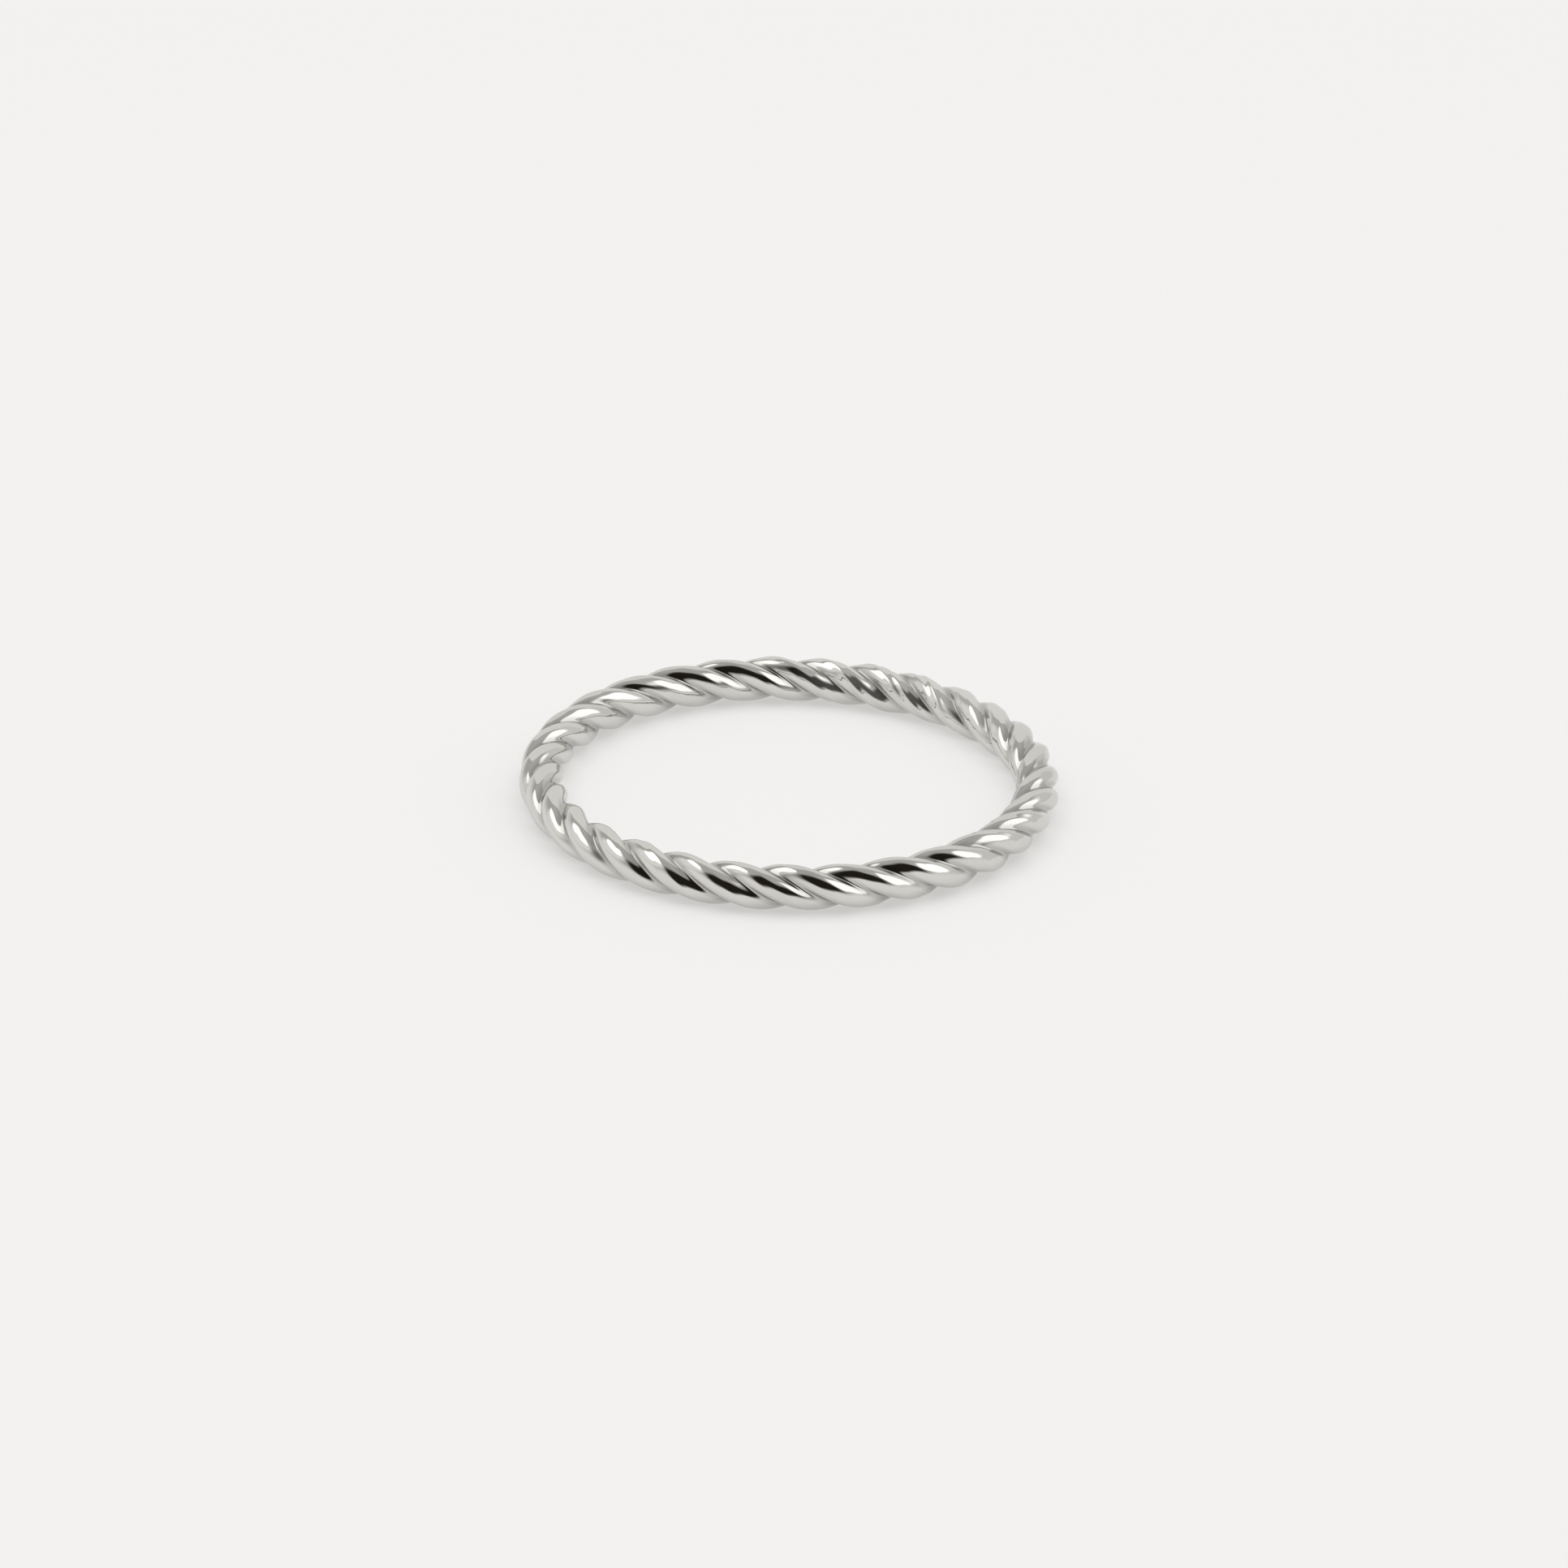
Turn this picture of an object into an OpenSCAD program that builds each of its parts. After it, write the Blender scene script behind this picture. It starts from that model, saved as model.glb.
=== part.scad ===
// A plain stacking ring: three metal strands twisted into one cord and fused, and the cord closed into a
// band. It lies on its side. Millimetres and degrees, X to the right, Y to the back, Z up.
// The origin is on the surface that it lies on, under the middle of the finger hole.

/* [Ring size] */
// Diameter of the finger hole, between the inner crests of the twist
hole_d = 17.2; // [14:0.1:22]
// Thickness of the cord, from crest to crest
cord_d = 1.7; // [1.2:0.05:2.4]

/* [Twist] */
// Strands in the cord
strands = 3; // [3:1:4]
// Full turns of the twist on its way round the ring
turns = 10; // [6:2:10]
// Place round the ring where a crest faces straight outwards, in degrees from +X
first_crest = 5.35; // [0:0.05:12]

/* [Strand] */
// Middle of a strand, as a share of the way from the middle of the cord to a crest
strand_place = 0.49; // [0.42:0.01:0.5]
// Width of a strand over its height, more than 1 because the twist lays it aslant
strand_width = 1.11; // [1:0.01:1.3]
// Length over which two strands melt into each other at the bottom of a groove
groove_softness = 0.09; // [0.01:0.01:0.12]

/* [Smoothness] */
// Facets round the cord
facets_round = 24; // [12:12:24]
// Sections along one turn of the twist
sections_per_turn = 24; // [12:12:24]

/* [Hidden] */

cord_r = cord_d / 2;
// Radius of the line that runs down the middle of the cord
centreline_r = hole_d / 2 + cord_r;
strand_offset = strand_place * cord_r;
strand_r = cord_r - strand_offset;
strand_half_width = strand_width * strand_r;
sections = turns * sections_per_turn;

// Distance from the middle of the cord to the surface of one strand, in the direction that lies angle away
// from the strand's crest. A strand is an ellipse that stands off from the middle
function strand_reach(angle) =
    let (
        across = sin(angle) / strand_half_width,
        along = cos(angle) / strand_r,
        a = across * across + along * along,
        b = along * strand_offset / strand_r,
        c = pow(strand_offset / strand_r, 2) - 1
    )
    (b + sqrt(b * b - a * c)) / a;

// Distance from the middle of the cord to its surface. A soft maximum joins the strands, so the groove
// between two of them has a rounded bottom
function cord_reach(angle) =
    let (
        reaches = [for (s = [0 : strands - 1]) strand_reach(angle - s * 360 / strands)],
        furthest = max(reaches),
        shares = [for (reach = reaches) exp((reach - furthest) / groove_softness)]
    )
    furthest + groove_softness * ln(shares * [for (share = shares) 1]);

// Point of the surface. place is the angle round the ring from the first crest, and angle is counted round
// the cord from a crest, which the twist turns back as it goes
function surface_point(place, angle) =
    let (
        reach = cord_reach(angle),
        turned = angle - turns * place,
        r = centreline_r + reach * cos(turned),
        round_ring = place + first_crest
    )
    [r * cos(round_ring), r * sin(round_ring), cord_r + reach * sin(turned)];

// The cord as one closed skin: a loop of points at each section, joined to the next by pairs of triangles.
// The rows of points follow the strands, so each crest and each groove is a row of its own
module twisted_band() {
    points = [
        for (i = [0 : sections - 1], j = [0 : facets_round - 1])
            surface_point(i * 360 / sections, j * 360 / facets_round)
    ];
    function index(i, j) = (i % sections) * facets_round + j % facets_round;
    faces = [
        for (i = [0 : sections - 1], j = [0 : facets_round - 1], half = [0, 1])
            half == 0
                ? [index(i, j), index(i + 1, j + 1), index(i + 1, j)]
                : [index(i, j), index(i, j + 1), index(i + 1, j + 1)]
    ];
    color("silver") polyhedron(points, faces, convexity = 8);
}

twisted_band();
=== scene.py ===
# Looks for a plain stacking ring: three silver strands twisted into one cord and fused into a closed band.
# The ring lies on its side. Metres, X to the right, Y to the back, Z up, as in the part.
import math

import bpy
from mathutils import Matrix, Vector


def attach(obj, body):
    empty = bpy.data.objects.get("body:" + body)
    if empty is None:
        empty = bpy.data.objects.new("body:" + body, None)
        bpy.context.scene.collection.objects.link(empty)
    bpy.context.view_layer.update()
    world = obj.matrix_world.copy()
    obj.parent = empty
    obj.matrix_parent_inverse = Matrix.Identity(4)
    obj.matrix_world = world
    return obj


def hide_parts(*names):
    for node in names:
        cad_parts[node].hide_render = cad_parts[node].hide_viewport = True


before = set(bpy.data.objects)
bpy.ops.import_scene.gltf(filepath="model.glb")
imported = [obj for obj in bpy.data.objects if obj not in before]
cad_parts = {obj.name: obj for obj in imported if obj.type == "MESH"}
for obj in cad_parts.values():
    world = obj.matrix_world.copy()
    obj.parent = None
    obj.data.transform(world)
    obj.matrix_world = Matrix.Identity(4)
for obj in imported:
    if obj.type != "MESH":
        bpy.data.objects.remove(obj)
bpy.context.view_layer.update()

MM = 0.001
FULL_TURN = 2 * math.pi

# Sizes, the same as in the part's source
HOLE = 17.2 * MM
CORD = 1.7 * MM
STRANDS = 3
TURNS = 10
FIRST_CREST = math.radians(5.35)
STRAND_PLACE = 0.49
STRAND_WIDTH = 1.11
GROOVE_SOFTNESS = 0.09 * MM
CORD_R = CORD / 2
CENTRELINE_R = HOLE / 2 + CORD_R

# Fineness of the smooth band. The points round the cord are a multiple of twice the strands, so that every
# crest and every groove is a row of its own. Points nearer than the seam are made one, which closes it
SECTIONS = 990
POINTS_ROUND = 96
SEAM = 0.002 * MM

# Unevenness that hand finishing leaves: slow waves, and long lines down each strand. Height is the most
# that the surface wanders either way, and the two lengths are what it takes over that, along the strand
# and across it. Detail is how many finer steps the noise has
WANDER = {"height": 0.055 * MM, "along": 2.4 * MM, "across": 0.8 * MM, "detail": 1.0}
LINES = {"height": 0.014 * MM, "along": 7.0 * MM, "across": 0.32 * MM, "detail": 0.0}
SEED = 3.0

# Stronger lines on either side of the soldered joint, where the wheel was used lightly. They are full
# within half this reach of the joint, counted round the ring, and gone beyond it. The joint's place is
# from +X
JOINT_LINES = {"height": 0.040 * MM, "along": 9.0 * MM, "across": 0.28 * MM, "detail": 0.0}
JOINT = math.radians(57)
JOINT_REACH = math.radians(34)

# Share of the metal near the joint that scatters light, for scratches too fine to see
SCATTERED = 0.13

# Polish. Grooves get duller and darker from this share of their depth down, and are rougher by this much at
# the bottom. Their darker colour is painted shade. Clouds of this width vary the rest: the mirror's
# roughness over one range of their noise, and the haze over another
SHADE_AND_DULLNESS_FROM = 0.66
DULLER = 0.09
CLOUD = 3 * MM
MIRROR = {"From Min": 0.3, "From Max": 0.7, "To Min": 0.015, "To Max": 0.03}
HAZE = {"From Min": 0.45, "From Max": 0.75}

# Sockets of a Mix node that are for colours. It has others of the same names
COLOUR_A = 6
COLOUR_B = 7
MIXED = 2


def linear(hex_colour):
    """An sRGB hex colour as linear red, green, blue and alpha."""
    shares = [int(hex_colour[i : i + 2], 16) / 255 for i in (1, 3, 5)]
    return (*[s / 12.92 if s <= 0.04045 else ((s + 0.055) / 1.055) ** 2.4 for s in shares], 1.0)


def add(tree, kind, inputs=(), **settings):
    """Adds a node with its settings. inputs gives each socket, by name or number, a value or what feeds it:
    an output, or a node, whose first output is meant."""
    node = tree.nodes.new(kind)
    for name, value in settings.items():
        setattr(node, name, value)
    for socket, value in dict(inputs).items():
        if isinstance(value, bpy.types.Node):
            value = value.outputs[0]
        if isinstance(value, bpy.types.NodeSocket):
            tree.links.new(value, node.inputs[socket])
        else:
            node.inputs[socket].default_value = value
    return node


def linked(name, data):
    """A new object in the scene, at the origin."""
    made = bpy.data.objects.new(name, data)
    bpy.context.scene.collection.objects.link(made)
    return made


def blank_material(name):
    """A new material without a node."""
    material = bpy.data.materials.new(name)
    material.use_nodes = True
    material.node_tree.nodes.clear()
    return material


def strand_noise(tree, round_ring, round_cord, uneven, seed):
    """Noise that follows the strands and closes on itself. It is read on two circles, the way round the
    ring and the way round the cord, each given as the cosine and sine of its angle."""
    ring = add(tree, "ShaderNodeVectorMath", {0: round_ring, "Scale": CENTRELINE_R / uneven["along"]},
               operation="SCALE")
    cord = add(tree, "ShaderNodeVectorMath", {0: round_cord, "Scale": CORD_R / uneven["across"]},
               operation="SCALE")
    ring = add(tree, "ShaderNodeSeparateXYZ", {0: ring}).outputs
    cord = add(tree, "ShaderNodeSeparateXYZ", {0: cord}).outputs
    where = add(tree, "ShaderNodeCombineXYZ", {"X": ring["X"], "Y": ring["Y"], "Z": cord["X"]})
    fourth = add(tree, "ShaderNodeMath", {0: cord["Y"], 1: seed}, operation="ADD")
    return add(tree, "ShaderNodeTexNoise", {"Vector": where, "W": fourth, "Scale": 1.0,
                                            "Detail": uneven["detail"]}, noise_dimensions="4D")


# Silver
def polished_sterling_silver():
    """Sterling silver, fused and then buffed on a soft wheel. It gives the eye a bright, faintly warm
    mirror, a little duller at the bottom of the grooves, where the wheel can't reach, and greyer there with
    painted shade. Near the joint a faint veil lies over what it mirrors. The lines that the wheel leaves
    are in the mesh."""
    material = blank_material("polished_sterling_silver")
    tree = material.node_tree
    groove = add(tree, "ShaderNodeAttribute", attribute_name="groove_depth").outputs["Fac"]
    at_joint = add(tree, "ShaderNodeAttribute", attribute_name="at_joint").outputs["Fac"]
    place = add(tree, "ShaderNodeTexCoord").outputs["Object"]

    # Grooves keep less polish towards the bottom, and painted shade darkens them there
    groove_shade_and_dullness = add(tree, "ShaderNodeMapRange", {"Value": groove, "From Min": SHADE_AND_DULLNESS_FROM, "From Max": 1.0},
               interpolation_type="SMOOTHSTEP")

    # Clouds of handling, which hardly show
    clouds = add(tree, "ShaderNodeTexNoise", {"Vector": place, "Scale": 1 / CLOUD, "Detail": 3.0})

    # Metal as it is on the crests, where it is hazed, and with painted shade in the grooves. Silver fresh
    # from the wheel is lighter, and these are matched to the object
    clear = linear("#DCDBD8")
    hazed = linear("#D6D5D2")
    painted_groove_shade = linear("#BEBDBA")
    haze = add(tree, "ShaderNodeMapRange", {"Value": clouds, **HAZE})
    hazy_silver = add(tree, "ShaderNodeMix", {0: haze, COLOUR_A: clear, COLOUR_B: hazed}, data_type="RGBA")
    # The grooves' painted shade: greyer metal mixed in towards their bottom
    colour = add(tree, "ShaderNodeMix", {0: groove_shade_and_dullness, COLOUR_A: hazy_silver.outputs[MIXED], COLOUR_B: painted_groove_shade},
                 data_type="RGBA").outputs[MIXED]

    mirror = add(tree, "ShaderNodeMapRange", {"Value": clouds, **MIRROR})
    roughness = add(tree, "ShaderNodeMath", {0: groove_shade_and_dullness, 1: DULLER, 2: mirror}, operation="MULTIPLY_ADD")

    # The veil: a share of the surface that scatters light in the metal's own colour and mirrors hardly any
    metallic = add(tree, "ShaderNodeMath", {0: at_joint, 1: -SCATTERED, 2: 1.0}, operation="MULTIPLY_ADD")

    # A slight tint where the metal is seen at a low angle keeps each strand's outline clear of the floor
    shader = add(tree, "ShaderNodeBsdfPrincipled", {
        "Base Color": colour, "Metallic": metallic, "Roughness": roughness,
        "Specular Tint": linear("#F6F6F6")})
    add(tree, "ShaderNodeOutputMaterial", {"Surface": shader})
    return material


# The band
def band_nodes():
    """Geometry Nodes that make the band from its sizes, by the same rule as the part: each strand is an
    ellipse set off from the middle of the cord, a soft maximum joins the strands, and the cord turns as it
    goes round. Returns the tree and its inputs by name."""
    tree = bpy.data.node_groups.new("twisted_band", "GeometryNodeTree")
    sizes = {
        name: tree.interface.new_socket(name, in_out="INPUT", socket_type=kind)
        for name, kind in [
            ("Centreline Radius", "NodeSocketFloat"),
            ("Cord Radius", "NodeSocketFloat"),
            ("Turns", "NodeSocketInt"),
            ("First Crest", "NodeSocketFloat"),
            ("Strand Offset", "NodeSocketFloat"),
            ("Strand Radius", "NodeSocketFloat"),
            ("Strand Half Width", "NodeSocketFloat"),
            ("Groove Softness", "NodeSocketFloat"),
            ("Sections", "NodeSocketInt"),
            ("Points Round", "NodeSocketInt"),
            ("Seed", "NodeSocketFloat"),
            ("Metal", "NodeSocketMaterial"),
        ]
    }
    tree.interface.new_socket("Band", in_out="OUTPUT", socket_type="NodeSocketGeometry")
    given = add(tree, "NodeGroupInput").outputs

    # A flat sheet, one unit each way, that is rolled up into the cord. X runs round the ring, and Y round
    # the cord. Each way has one point more, because its last points fall on its first
    rows = add(tree, "ShaderNodeMath", {0: given["Sections"], 1: 1.0}, operation="ADD")
    points = add(tree, "ShaderNodeMath", {0: given["Points Round"], 1: 1.0}, operation="ADD")
    sheet = add(tree, "GeometryNodeMeshGrid", {"Size X": 1.0, "Size Y": 1.0, "Vertices X": rows,
                                               "Vertices Y": points})
    flat = add(tree, "ShaderNodeSeparateXYZ", {0: add(tree, "GeometryNodeInputPosition")}).outputs
    place = add(tree, "ShaderNodeMath", {0: flat["X"], 1: FULL_TURN}, operation="MULTIPLY")
    angle = add(tree, "ShaderNodeMath", {0: flat["Y"], 1: FULL_TURN}, operation="MULTIPLY")

    # Reach of the strands from the middle of the cord, in the direction of angle. For one strand it is
    # the larger root of a * reach^2 - 2 * b * reach - room = 0
    lean = add(tree, "ShaderNodeMath", {0: given["Strand Offset"], 1: given["Strand Radius"]},
               operation="DIVIDE")
    lean_squared = add(tree, "ShaderNodeMath", {0: lean, 1: lean}, operation="MULTIPLY")
    room = add(tree, "ShaderNodeMath", {0: 1.0, 1: lean_squared}, operation="SUBTRACT")
    total = None
    for strand in range(STRANDS):
        crest_at = strand * FULL_TURN / STRANDS
        away = add(tree, "ShaderNodeMath", {0: angle, 1: crest_at}, operation="SUBTRACT")
        sine = add(tree, "ShaderNodeMath", {0: away}, operation="SINE")
        cosine = add(tree, "ShaderNodeMath", {0: away}, operation="COSINE")
        across = add(tree, "ShaderNodeMath", {0: sine, 1: given["Strand Half Width"]}, operation="DIVIDE")
        along = add(tree, "ShaderNodeMath", {0: cosine, 1: given["Strand Radius"]}, operation="DIVIDE")
        across_squared = add(tree, "ShaderNodeMath", {0: across, 1: across}, operation="MULTIPLY")
        a = add(tree, "ShaderNodeMath", {0: along, 1: along, 2: across_squared}, operation="MULTIPLY_ADD")
        b = add(tree, "ShaderNodeMath", {0: along, 1: lean}, operation="MULTIPLY")
        b_squared = add(tree, "ShaderNodeMath", {0: b, 1: b}, operation="MULTIPLY")
        under_root = add(tree, "ShaderNodeMath", {0: a, 1: room, 2: b_squared}, operation="MULTIPLY_ADD")
        root = add(tree, "ShaderNodeMath", {0: under_root}, operation="SQRT")
        top = add(tree, "ShaderNodeMath", {0: b, 1: root}, operation="ADD")
        reach = add(tree, "ShaderNodeMath", {0: top, 1: a}, operation="DIVIDE")
        in_softness = add(tree, "ShaderNodeMath", {0: reach, 1: given["Groove Softness"]},
                          operation="DIVIDE")
        share = add(tree, "ShaderNodeMath", {0: in_softness}, operation="EXPONENT")
        if total is None:
            total = share
        else:
            total = add(tree, "ShaderNodeMath", {0: total, 1: share}, operation="ADD")
    log_total = add(tree, "ShaderNodeMath", {0: total, 1: math.e}, operation="LOGARITHM")
    reach = add(tree, "ShaderNodeMath", {0: log_total, 1: given["Groove Softness"]}, operation="MULTIPLY")

    # Unevenness. The noise lies between 0 and 1, so half is taken off it and each height is doubled
    round_ring = add(tree, "ShaderNodeCombineXYZ", {
        "X": add(tree, "ShaderNodeMath", {0: place}, operation="COSINE"),
        "Y": add(tree, "ShaderNodeMath", {0: place}, operation="SINE"),
    })
    round_cord = add(tree, "ShaderNodeCombineXYZ", {
        "X": add(tree, "ShaderNodeMath", {0: angle}, operation="COSINE"),
        "Y": add(tree, "ShaderNodeMath", {0: angle}, operation="SINE"),
    })
    joint = (math.cos(JOINT - FIRST_CREST), math.sin(JOINT - FIRST_CREST), 0.0)
    nearness = add(tree, "ShaderNodeVectorMath", {0: round_ring, 1: joint}, operation="DOT_PRODUCT")
    at_joint = add(tree, "ShaderNodeMapRange", {
        "Value": nearness.outputs["Value"], "From Min": math.cos(JOINT_REACH),
        "From Max": math.cos(JOINT_REACH / 2)}, interpolation_type="SMOOTHSTEP")
    for uneven, times in ((WANDER, 1.0), (LINES, 1.0), (JOINT_LINES, at_joint)):
        noise = strand_noise(tree, round_ring, round_cord, uneven, given["Seed"])
        swing = add(tree, "ShaderNodeMath", {0: noise, 1: 0.5}, operation="SUBTRACT")
        height = add(tree, "ShaderNodeMath", {0: times, 1: 2 * uneven["height"]}, operation="MULTIPLY")
        reach = add(tree, "ShaderNodeMath", {0: swing, 1: height, 2: reach}, operation="MULTIPLY_ADD")

    # Place of each point. The twist turns the angle back as the cord goes round
    turned_back = add(tree, "ShaderNodeMath", {0: place, 1: given["Turns"]}, operation="MULTIPLY")
    turned = add(tree, "ShaderNodeMath", {0: angle, 1: turned_back}, operation="SUBTRACT")
    outward = add(tree, "ShaderNodeMath", {0: turned}, operation="COSINE")
    upward = add(tree, "ShaderNodeMath", {0: turned}, operation="SINE")
    r = add(tree, "ShaderNodeMath", {0: reach, 1: outward, 2: given["Centreline Radius"]},
            operation="MULTIPLY_ADD")
    bearing = add(tree, "ShaderNodeMath", {0: place, 1: given["First Crest"]}, operation="ADD")
    east = add(tree, "ShaderNodeMath", {0: bearing}, operation="COSINE")
    north = add(tree, "ShaderNodeMath", {0: bearing}, operation="SINE")
    point = add(tree, "ShaderNodeCombineXYZ", {
        "X": add(tree, "ShaderNodeMath", {0: r, 1: east}, operation="MULTIPLY"),
        "Y": add(tree, "ShaderNodeMath", {0: r, 1: north}, operation="MULTIPLY"),
        "Z": add(tree, "ShaderNodeMath", {0: reach, 1: upward, 2: given["Cord Radius"]},
                 operation="MULTIPLY_ADD"),
    })

    # How far down a groove each point is, 0 on a crest and 1 at the bottom, for the metal's polish
    wave = add(tree, "ShaderNodeMath", {0: angle, 1: float(STRANDS)}, operation="MULTIPLY")
    crest = add(tree, "ShaderNodeMath", {0: wave}, operation="COSINE")
    depth = add(tree, "ShaderNodeMath", {0: crest, 1: -0.5, 2: 0.5}, operation="MULTIPLY_ADD")
    marked = add(tree, "GeometryNodeStoreNamedAttribute", {"Geometry": sheet, "Name": "groove_depth",
                                                           "Value": depth}, data_type="FLOAT")

    # How near the joint each point is, 0 far off and 1 close by, for the veil on the metal
    marked = add(tree, "GeometryNodeStoreNamedAttribute", {"Geometry": marked, "Name": "at_joint",
                                                           "Value": at_joint}, data_type="FLOAT")

    rolled = add(tree, "GeometryNodeSetPosition", {"Geometry": marked, "Position": point})
    closed = add(tree, "GeometryNodeMergeByDistance", {"Geometry": rolled, "Distance": SEAM})
    smooth = add(tree, "GeometryNodeSetShadeSmooth", {"Geometry": closed, "Shade Smooth": True})
    real = add(tree, "GeometryNodeRealizeInstances", {"Geometry": smooth})
    metal = add(tree, "GeometryNodeSetMaterial", {"Geometry": real, "Material": given["Metal"]})
    add(tree, "NodeGroupOutput", {"Band": metal})
    return tree, sizes


def twisted_silver_band(metal):
    """The whole ring as one plain mesh."""
    tree, sizes = band_nodes()
    carrier = linked("band_carrier", bpy.data.meshes.new("band_carrier"))
    modifier = carrier.modifiers.new("band", "NODES")
    modifier.node_group = tree
    offset = STRAND_PLACE * CORD_R
    for name, value in {
        "Centreline Radius": CENTRELINE_R,
        "Cord Radius": CORD_R,
        "Turns": TURNS,
        "First Crest": FIRST_CREST,
        "Strand Offset": offset,
        "Strand Radius": CORD_R - offset,
        "Strand Half Width": STRAND_WIDTH * (CORD_R - offset),
        "Groove Softness": GROOVE_SOFTNESS,
        "Sections": SECTIONS,
        "Points Round": POINTS_ROUND,
        "Seed": SEED,
        "Metal": metal,
    }.items():
        modifier[sizes[name].identifier] = value
    evaluated = carrier.evaluated_get(bpy.context.evaluated_depsgraph_get())
    mesh = bpy.data.meshes.new_from_object(evaluated)
    mesh.name = "twisted_silver_band"
    bpy.data.objects.remove(carrier)
    return linked("twisted_silver_band", mesh)


# Studio

# What stands round the ring, as the ring sees it, each in front of the ones before it. azimuth is in
# degrees from straight away from the camera, round to the right, and elevation, width and height are in
# degrees too. slant is how far a panel moves to the right for each degree up, corner is 2 for an ellipse
# and more for a squarer one, and fade is the share of it over which its edge fades. glow is its
# brightness, where the floor's is about 0.9, and tint is its colour where that isn't LIGHT
PANELS = [
    # Lit wall below the left softbox
    dict(azimuth=-90.0, elevation=40.0, width=68.0, height=56.0,
         slant=-0.24, corner=2.0, fade=0.5, glow=0.88),
    # Card behind the ring
    dict(azimuth=4.5, elevation=25.0, width=66.0, height=64.0,
         slant=-0.11, corner=2.5, fade=0.1, glow=0.84),
    # Wall to the right of the card
    dict(azimuth=54.0, elevation=8.0, width=40.0, height=70.0,
         slant=-0.25, corner=3.0, fade=0.4, glow=0.73),
    # Left softbox
    dict(azimuth=-77.8, elevation=56.2, width=71.2, height=32.1,
         slant=0.18, corner=2.0, fade=0.25, glow=1.6),
    # Right softbox
    dict(azimuth=92.0, elevation=41.8, width=80.0, height=50.0,
         slant=-0.2, corner=2.0, fade=0.35, glow=1.5),
    # Dark room behind the camera
    dict(azimuth=178.5, elevation=40.5, width=92.0, height=74.0,
         slant=0.3, corner=2.7, fade=0.6, glow=0.018, tint=(1.0, 0.85, 0.62)),
]

# Brightness of the tent behind the panels, by elevation in degrees
TENT = {-90: 0.74, -5: 0.85, 6: 0.85, 15: 0.72, 30: 0.48, 45: 0.48, 65: 0.52, 76: 0.49, 90: 0.45}

# Colour of all this light
LIGHT = (1.0, 0.996, 0.97)

# The table goes this far each way from the ring. Part of its tone is its own glow, and the rest is what
# a square lamp gives it from above, in metres and watts
TABLE_REACH = 3.0
TABLE_GLOW = 0.55
LAMP_WIDTH = 0.8
LAMP_HEIGHT = 0.6
LAMP_POWER = 2.95


def studio():
    """A white tent with soft panels, as light from every direction."""
    world = bpy.data.worlds.new("studio")
    world.use_nodes = True
    bpy.context.scene.world = world
    tree = world.node_tree
    tree.nodes.clear()
    towards = add(tree, "ShaderNodeSeparateXYZ", {0: add(tree, "ShaderNodeTexCoord")}).outputs
    bearing = add(tree, "ShaderNodeMath", {0: towards["X"], 1: towards["Y"]}, operation="ARCTAN2")
    azimuth = add(tree, "ShaderNodeMath", {0: bearing}, operation="DEGREES")
    rise = add(tree, "ShaderNodeMath", {0: towards["Z"]}, operation="ARCSINE")
    elevation = add(tree, "ShaderNodeMath", {0: rise}, operation="DEGREES")

    # The tent. Its ramp runs from straight down to straight up
    height = add(tree, "ShaderNodeMapRange", {"Value": elevation, "From Min": -90.0, "From Max": 90.0})
    ramp = add(tree, "ShaderNodeValToRGB", {"Fac": height})
    stops = ramp.color_ramp.elements
    while len(stops) < len(TENT):
        stops.new(0.5)
    for stop, (degrees, glow) in zip(stops, TENT.items()):
        stop.position = (degrees + 90) / 180
        stop.color = (*[glow * share for share in LIGHT], 1.0)
    light = ramp.outputs["Color"]

    # The panels. out is how far a direction lies from a panel's middle, and 1 on its edge
    for panel in PANELS:
        above = add(tree, "ShaderNodeMath", {0: elevation, 1: panel["elevation"]}, operation="SUBTRACT")
        aside = add(tree, "ShaderNodeMath", {0: azimuth, 1: panel["azimuth"]}, operation="SUBTRACT")
        slanted = add(tree, "ShaderNodeMath", {0: above, 1: -panel["slant"], 2: aside},
                      operation="MULTIPLY_ADD")
        wrapped = add(tree, "ShaderNodeMath", {0: slanted, 1: 180.0, 2: -180.0}, operation="WRAP")
        powers = []
        for way, size in ((wrapped, panel["width"]), (above, panel["height"])):
            far = add(tree, "ShaderNodeMath", {0: way, 1: size / 2}, operation="DIVIDE")
            far = add(tree, "ShaderNodeMath", {0: far}, operation="ABSOLUTE")
            powers.append(add(tree, "ShaderNodeMath", {0: far, 1: panel["corner"]}, operation="POWER"))
        both = add(tree, "ShaderNodeMath", {0: powers[0], 1: powers[1]}, operation="ADD")
        out = add(tree, "ShaderNodeMath", {0: both, 1: 1 / panel["corner"]}, operation="POWER")
        inside = add(tree, "ShaderNodeMapRange", {"Value": out, "From Min": 1 + panel["fade"] / 2,
                                                  "From Max": 1 - panel["fade"] / 2},
                     interpolation_type="SMOOTHSTEP")
        glow = (*[panel["glow"] * share for share in panel.get("tint", LIGHT)], 1.0)
        light = add(tree, "ShaderNodeMix", {0: inside, COLOUR_A: light, COLOUR_B: glow},
                    data_type="RGBA").outputs[MIXED]
    background = add(tree, "ShaderNodeBackground", {"Color": light, "Strength": 1.0})
    add(tree, "ShaderNodeOutputWorld", {"Surface": background})


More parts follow.
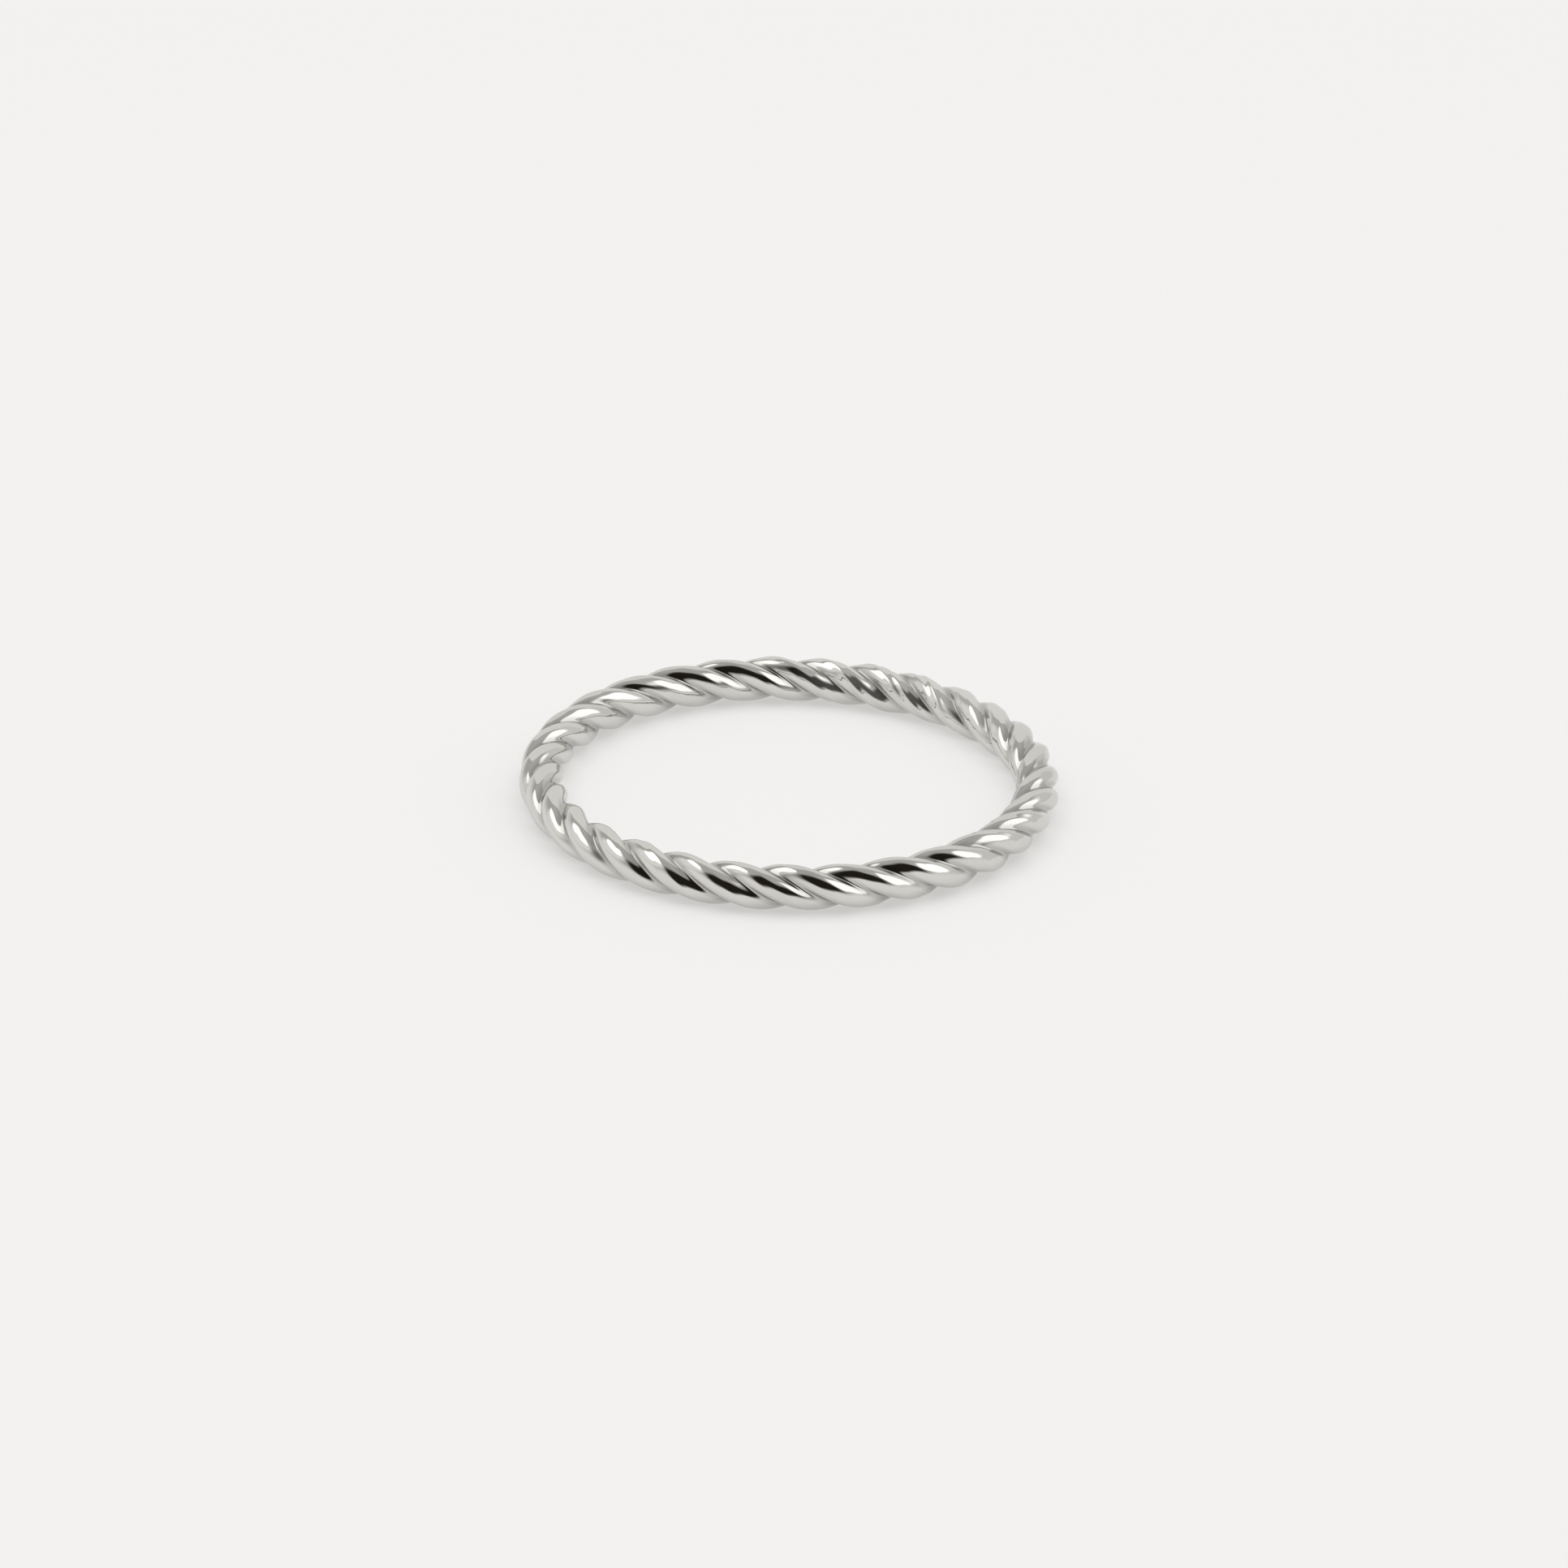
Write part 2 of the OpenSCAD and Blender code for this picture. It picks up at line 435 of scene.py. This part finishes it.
def pale_floor():
    """Matt opal acrylic, the top of a light table. It glows from below, which gives the eye an even pale
    ground with hardly a shadow, and the ring its light from underneath."""
    mesh = bpy.data.meshes.new("light_table")
    ways = ((-1, -1), (1, -1), (1, 1), (-1, 1))
    corners = [(x * TABLE_REACH, y * TABLE_REACH, 0) for x, y in ways]
    mesh.from_pydata(corners, [], [(0, 1, 2, 3)])
    opal = blank_material("matt_opal_acrylic")
    shader = add(opal.node_tree, "ShaderNodeBsdfPrincipled", {
        "Base Color": linear("#9C9B9B"), "Roughness": 1.0, "Specular IOR Level": 0.0,
        "Emission Color": linear("#F2F1EF"), "Emission Strength": TABLE_GLOW})
    add(opal.node_tree, "ShaderNodeOutputMaterial", {"Surface": shader})
    mesh.materials.append(opal)
    return linked("light_table", mesh)


def scrim():
    """A wide lamp overhead that brightens the table. The metal doesn't mirror it, so it can be as strong as
    the table's tone needs."""
    lamp = bpy.data.lights.new("scrim", "AREA")
    lamp.shape = "SQUARE"
    lamp.size = LAMP_WIDTH
    lamp.energy = LAMP_POWER
    hung = linked("scrim", lamp)
    hung.location = (0, 0, LAMP_HEIGHT)
    hung.visible_glossy = False


# Camera

# The photo's angle to the ring. The picture is square, and the place of the ring's middle in it and the
# radius of the ring's centreline are in pixels. The sensor's width is in millimetres, as Blender takes
# it, and the nearest and furthest that the camera sees are in metres
PICTURE = 1932
RING_AT = (972.5, 961.5)
CENTRELINE_IN_PICTURE = 305.5
ELEVATION = math.radians(24.9)
ROLL = math.radians(1.32)
DISTANCE = 342 * MM
SENSOR = 36
NEAREST = 0.01
FURTHEST = 10


def photo_camera():
    """The scene's camera, aimed so that the ring comes at its place in the picture."""
    camera = bpy.data.cameras.new("camera")
    camera.sensor_width = SENSOR
    camera.lens = SENSOR * CENTRELINE_IN_PICTURE / PICTURE * DISTANCE / CENTRELINE_R
    camera.clip_start = NEAREST
    camera.clip_end = FURTHEST
    held = linked("camera", camera)
    middle = Vector((0, 0, CORD_R))
    forward = Vector((0, math.cos(ELEVATION), -math.sin(ELEVATION)))
    above = Vector((0, math.sin(ELEVATION), math.cos(ELEVATION)))
    pixel = CENTRELINE_R / CENTRELINE_IN_PICTURE
    off_right = RING_AT[0] - PICTURE / 2
    off_up = PICTURE / 2 - RING_AT[1]
    aim = middle - Vector((1, 0, 0)) * off_right * pixel - above * off_up * pixel
    spot = middle - forward * DISTANCE
    look = (aim - spot).normalized()
    right = look.cross(Vector((0, 0, 1))).normalized()
    up = right.cross(look)
    turned = Matrix((right, up, -look)).transposed().to_4x4() @ Matrix.Rotation(ROLL, 4, "Z")
    held.matrix_world = Matrix.Translation(spot) @ turned
    bpy.context.scene.camera = held


# The scene
silver = polished_sterling_silver()
band = twisted_silver_band(silver)
floor = pale_floor()
studio()
scrim()
photo_camera()
bpy.context.scene.view_settings.view_transform = "Standard"

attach(band, "root")
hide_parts("twisted_band")
